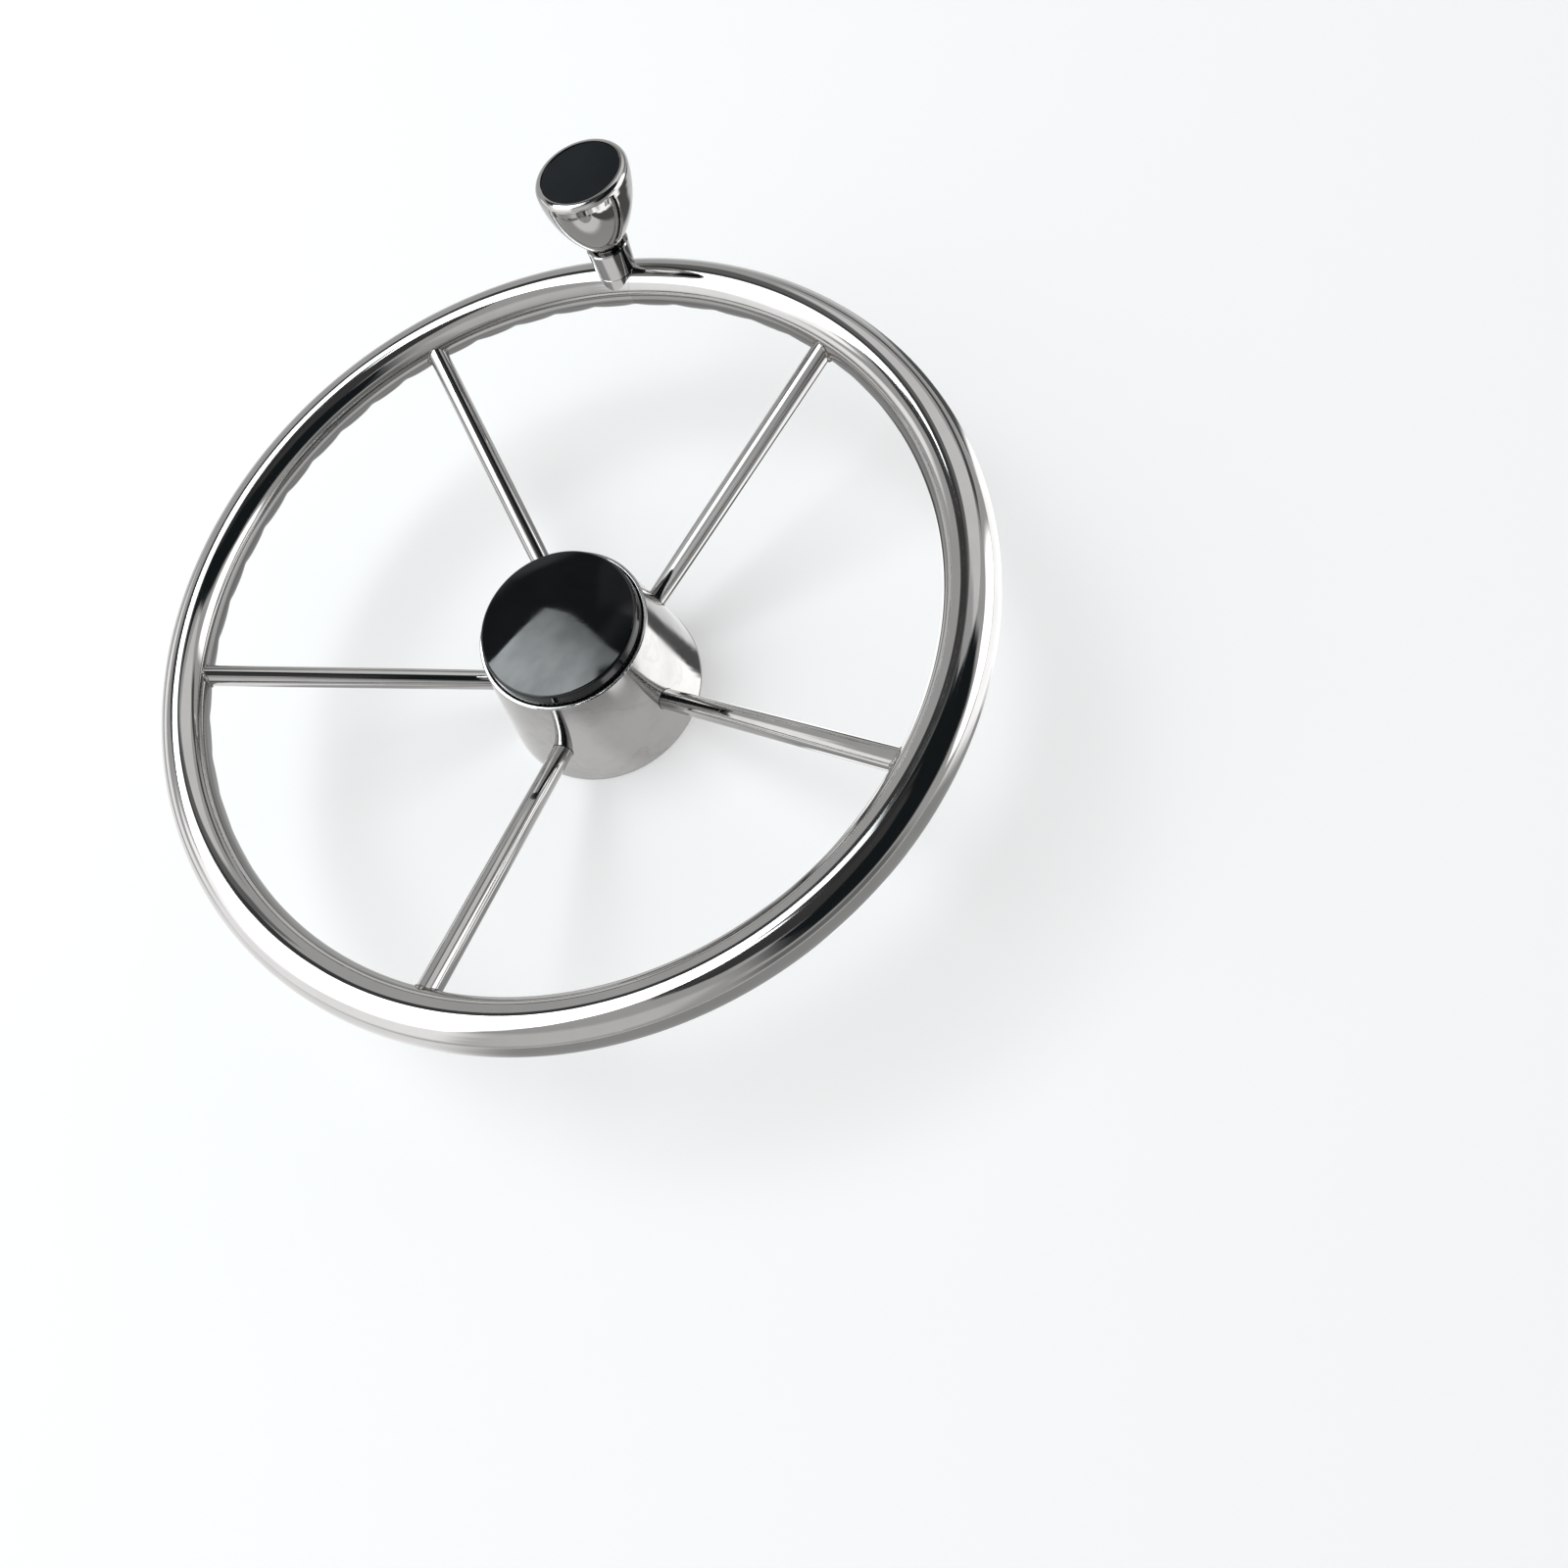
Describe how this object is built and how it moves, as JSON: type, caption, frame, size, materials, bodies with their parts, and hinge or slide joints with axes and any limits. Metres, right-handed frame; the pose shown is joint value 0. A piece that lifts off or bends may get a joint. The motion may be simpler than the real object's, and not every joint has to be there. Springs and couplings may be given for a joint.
{
  "type": "boat steering wheel",
  "caption": "Dished stainless boat steering wheel: round tube rim with finger grips behind, raked tube spokes, conical keyed hub with a black cap, and a turning knob on the rim.",
  "frame": {"origin": "on the shaft axis at the rear face of the hub's boss", "axes": "+Z along the shaft towards the driver, +Y towards the knob's side of the rim, midway between two spokes"},
  "size_m": [0.3939, 0.4052, 0.1593],
  "materials": {
    "polished_rim": "mirror-polished stainless steel tube, lightly marked in the grips",
    "polished_spoke": "polished stainless steel tube with fine lengthwise polishing lines",
    "hub_metal": "polished cast stainless outside, dark grey as cast inside",
    "knob_metal": "mirror-polished turned stainless steel",
    "bolt_steel": "plain turned stainless steel",
    "washer_steel": "plain stainless steel",
    "bush_plastic": "natural acetal",
    "cap_plastic": "glossy black moulded plastic",
    "insert_plastic": "satin black plastic with a faint grain"
  },
  "bodies": {
    "wheel": {"rim_tube": "polished_rim", "spoke_1": "polished_spoke", "spoke_2": "polished_spoke", "spoke_3": "polished_spoke", "spoke_4": "polished_spoke", "spoke_5": "polished_spoke", "hub_casting": "hub_metal", "centre_cap": "cap_plastic", "knob_post": "knob_metal", "knob_bolt": "bolt_steel", "knob_lower_washer": "washer_steel", "knob_upper_washer": "washer_steel"},
    "knob": {"knob_head": "knob_metal", "knob_bush": "bush_plastic", "knob_insert": "insert_plastic"}
  },
  "joints": [
    {"name": "knob_spin", "type": "hinge", "parent": "wheel", "child": "knob", "pos_m": [-0.00746, 0.18575, 0.1138], "axis": [0, 0, 1], "continuous": true}
  ]
}
